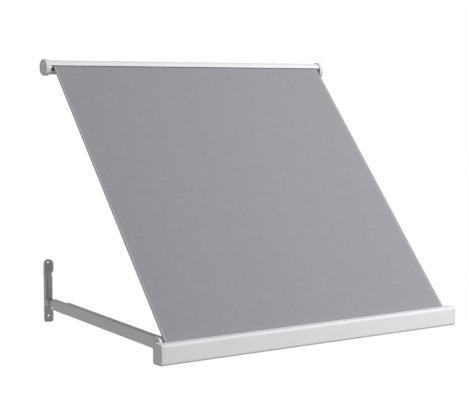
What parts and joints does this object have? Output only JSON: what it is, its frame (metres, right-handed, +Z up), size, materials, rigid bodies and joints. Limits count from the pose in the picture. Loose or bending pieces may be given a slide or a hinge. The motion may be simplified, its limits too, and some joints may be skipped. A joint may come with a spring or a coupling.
{
  "type": "drop-arm window awning",
  "caption": "Drop-arm window awning: a fabric sheet runs from a round wall cassette down to a front bar on two swinging arms.",
  "frame": {"origin": "on the wall plane, midway between the arms, at the height of the arm pivots", "axes": "+X along the width to the right of someone who faces the wall, +Y into the wall, +Z up"},
  "size_m": [1.504, 1.0315, 1.1634],
  "materials": {
    "white_powder_coat": "satin",
    "coated_cast_aluminium": "satin",
    "white_plastic": "matte",
    "zinc_plated_steel": "satin",
    "mill_aluminium": "satin",
    "black_plastic": "matte",
    "grey_rubber": "matte",
    "grey_acrylic_cloth": "matte"
  },
  "bodies": {
    "cassette": {"cassette_profile": "white_powder_coat", "end_cap_left": "white_plastic", "end_cap_right": "white_plastic", "cable_grommet": "black_plastic", "cassette_clip_left": "zinc_plated_steel", "cassette_clip_right": "zinc_plated_steel", "clip_screw_left": "zinc_plated_steel", "clip_screw_right": "zinc_plated_steel", "tube_motor": "black_plastic", "roller_pin": "zinc_plated_steel", "wall_bracket_left": "coated_cast_aluminium", "wall_bracket_right": "coated_cast_aluminium", "pivot_pin_left": "zinc_plated_steel", "pivot_pin_right": "zinc_plated_steel", "arm_buffer_left": "grey_rubber", "arm_buffer_right": "grey_rubber", "arm_spring_left": "zinc_plated_steel", "arm_spring_right": "zinc_plated_steel", "fabric": "grey_acrylic_cloth"},
    "roller": {"roller_tube": "mill_aluminium", "roller_idler": "black_plastic", "drive_wheel": "black_plastic"},
    "arm_left": {"arm_heel_left": "coated_cast_aluminium", "heel_bush_left": "black_plastic", "arm_tube_left": "white_powder_coat", "arm_tip_left": "coated_cast_aluminium", "tip_bush_left": "black_plastic"},
    "arm_right": {"arm_heel_right": "coated_cast_aluminium", "heel_bush_right": "black_plastic", "arm_tube_right": "white_powder_coat", "arm_tip_right": "coated_cast_aluminium", "tip_bush_right": "black_plastic"},
    "front_bar": {"bar_profile": "white_powder_coat", "bar_cap_left": "white_plastic", "bar_cap_right": "white_plastic", "bar_hinge_left": "coated_cast_aluminium", "bar_hinge_right": "coated_cast_aluminium", "bar_pin_left": "zinc_plated_steel", "bar_pin_right": "zinc_plated_steel", "hem_rod": "black_plastic"}
  },
  "joints": [
    {"name": "arm_left_swing", "type": "hinge", "parent": "cassette", "child": "arm_left", "pos_m": [0, -0.034, 0], "axis": [-1, 0, 0], "range_deg": [0, 88.42], "deforming": ["fabric", "arm_spring_left"]},
    {"name": "arm_right_swing", "type": "hinge", "parent": "cassette", "child": "arm_right", "pos_m": [0, -0.034, 0], "axis": [-1, 0, 0], "range_deg": [0, 88.42], "deforming": ["arm_spring_right"]},
    {"name": "bar_tilt", "type": "hinge", "parent": "arm_left", "child": "front_bar", "pos_m": [0, -0.95763, -0.0262], "axis": [-1, 0, 0], "range_deg": [-88.42, 0]},
    {"name": "roller_turn", "type": "hinge", "parent": "cassette", "child": "roller", "pos_m": [0, -0.054, 1.0285], "axis": [-1, 0, 0], "range_deg": [0, 3240.5]}
  ],
  "couplings": [
    {"joint": "arm_right_swing", "follows": "arm_left_swing", "ratio": 1},
    {"joint": "bar_tilt", "follows": "arm_left_swing", "ratio": -1},
    {"joint": "roller_turn", "follows": "arm_left_swing", "ratio": 36.641}
  ]
}
